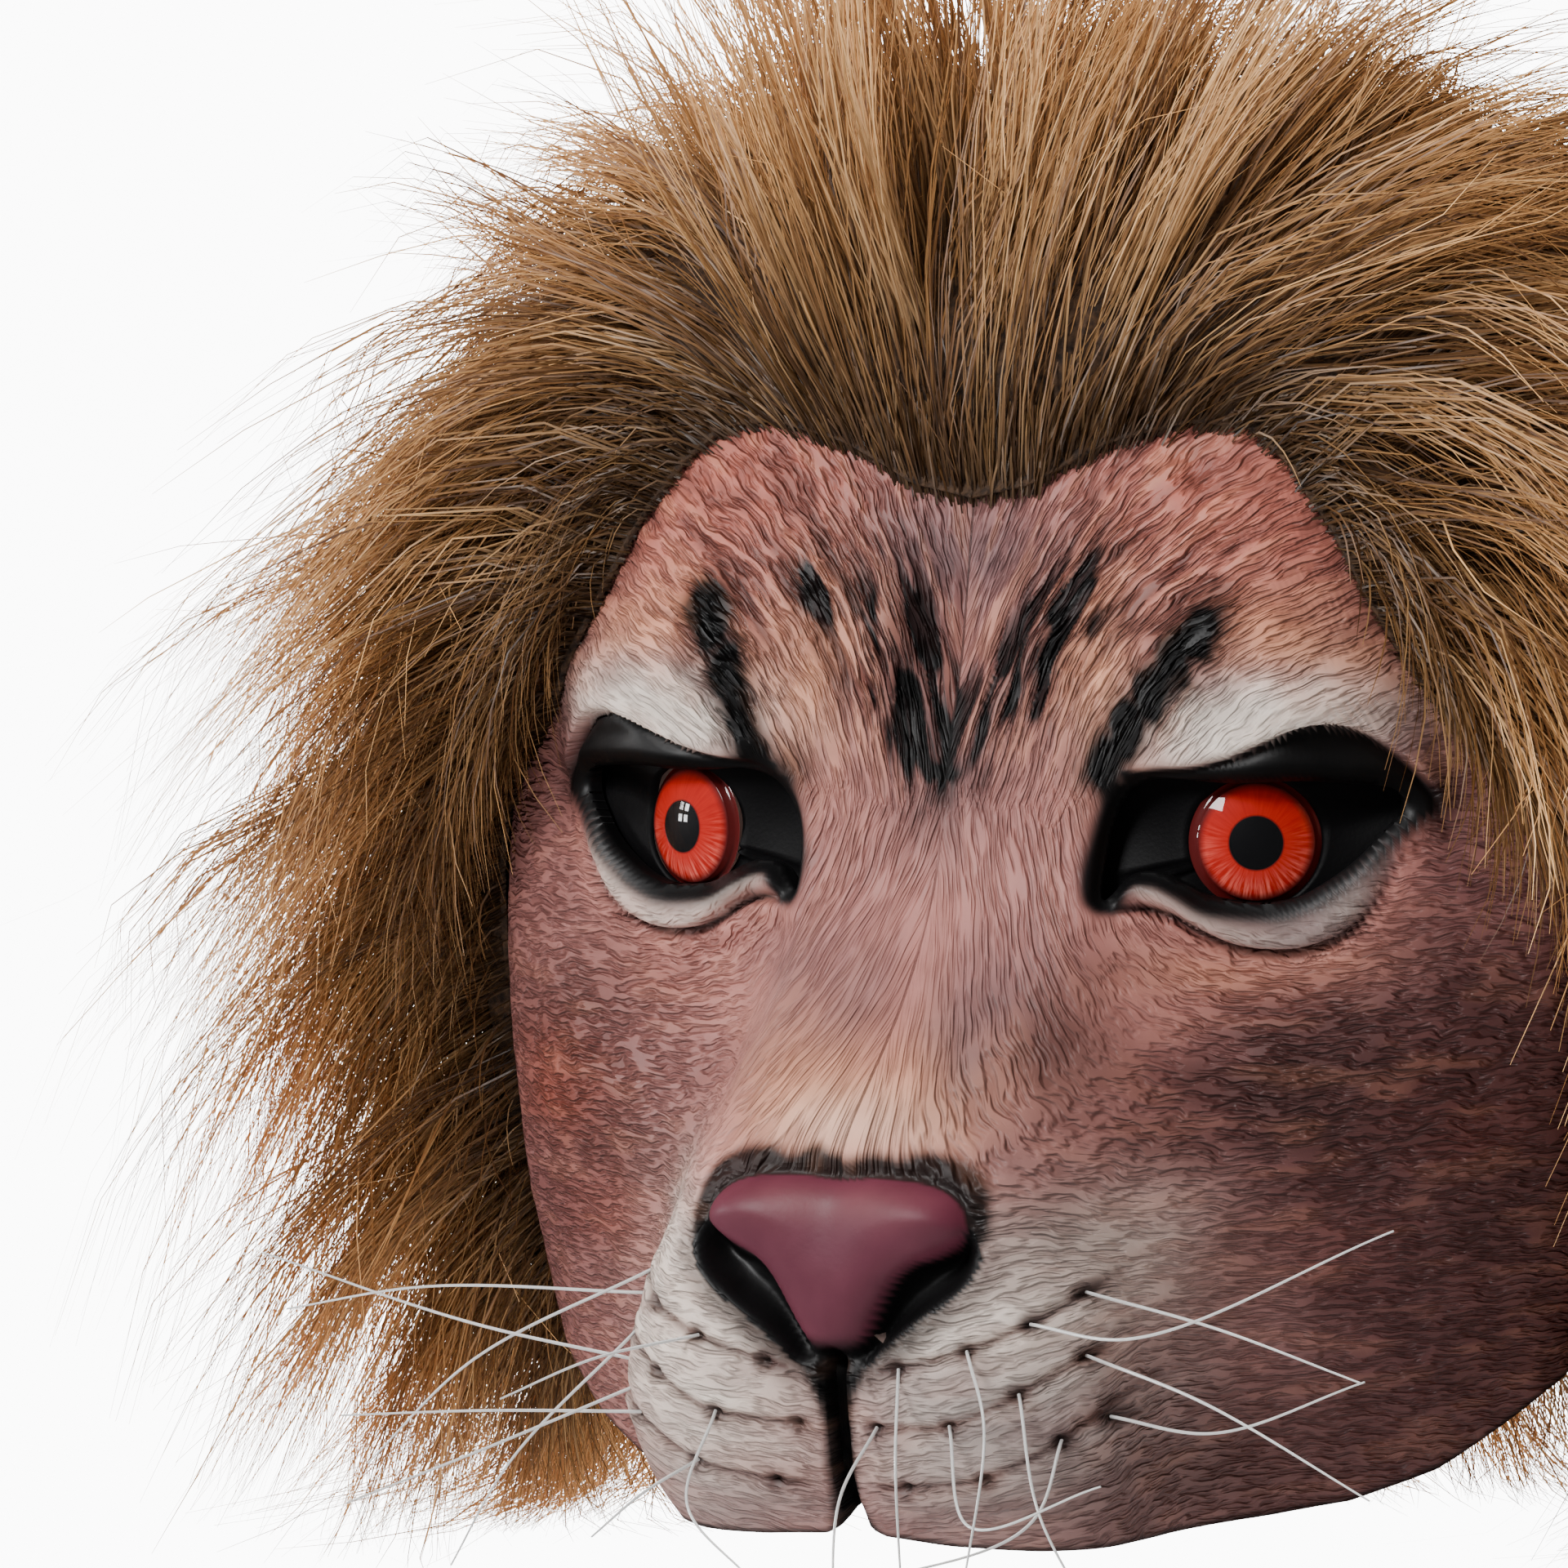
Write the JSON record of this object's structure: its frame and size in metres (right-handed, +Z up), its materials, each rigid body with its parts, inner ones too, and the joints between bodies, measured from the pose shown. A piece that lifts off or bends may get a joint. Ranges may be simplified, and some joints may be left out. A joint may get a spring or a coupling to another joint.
{
  "type": "latex lion mask",
  "caption": "Overhead latex lion mask: a hollow painted head with domed red eyes, whiskers and a thick golden fur mane glued round it.",
  "frame": {"origin": "inside of the crown, where the top of the wearer's head seats", "axes": "+Z up, the face looks along -Y, +X to the wearer's left"},
  "size_m": [0.3644, 0.3114, 0.3067],
  "materials": {
    "painted_latex": "satin painted latex, dusty pink with cream, grey and black shading",
    "black_panel": "matte black",
    "red_eye": "clear gloss over a red iris with a black pupil",
    "golden_fur": "long golden-brown synthetic fur",
    "white_nylon": "satin white nylon"
  },
  "bodies": {
    "root": {"latex_mask": "painted_latex", "eye_panel_left": "black_panel", "eye_panel_right": "black_panel", "eye_left": "red_eye", "eye_right": "red_eye", "mane": "golden_fur", "whisker_01": "white_nylon", "whisker_02": "white_nylon", "whisker_03": "white_nylon", "whisker_04": "white_nylon", "whisker_05": "white_nylon", "whisker_06": "white_nylon", "whisker_07": "white_nylon", "whisker_08": "white_nylon", "whisker_09": "white_nylon", "whisker_10": "white_nylon", "whisker_11": "white_nylon", "whisker_12": "white_nylon", "whisker_13": "white_nylon", "whisker_14": "white_nylon", "whisker_15": "white_nylon", "whisker_16": "white_nylon", "whisker_17": "white_nylon", "whisker_18": "white_nylon", "whisker_19": "white_nylon"}
  },
  "joints": []
}
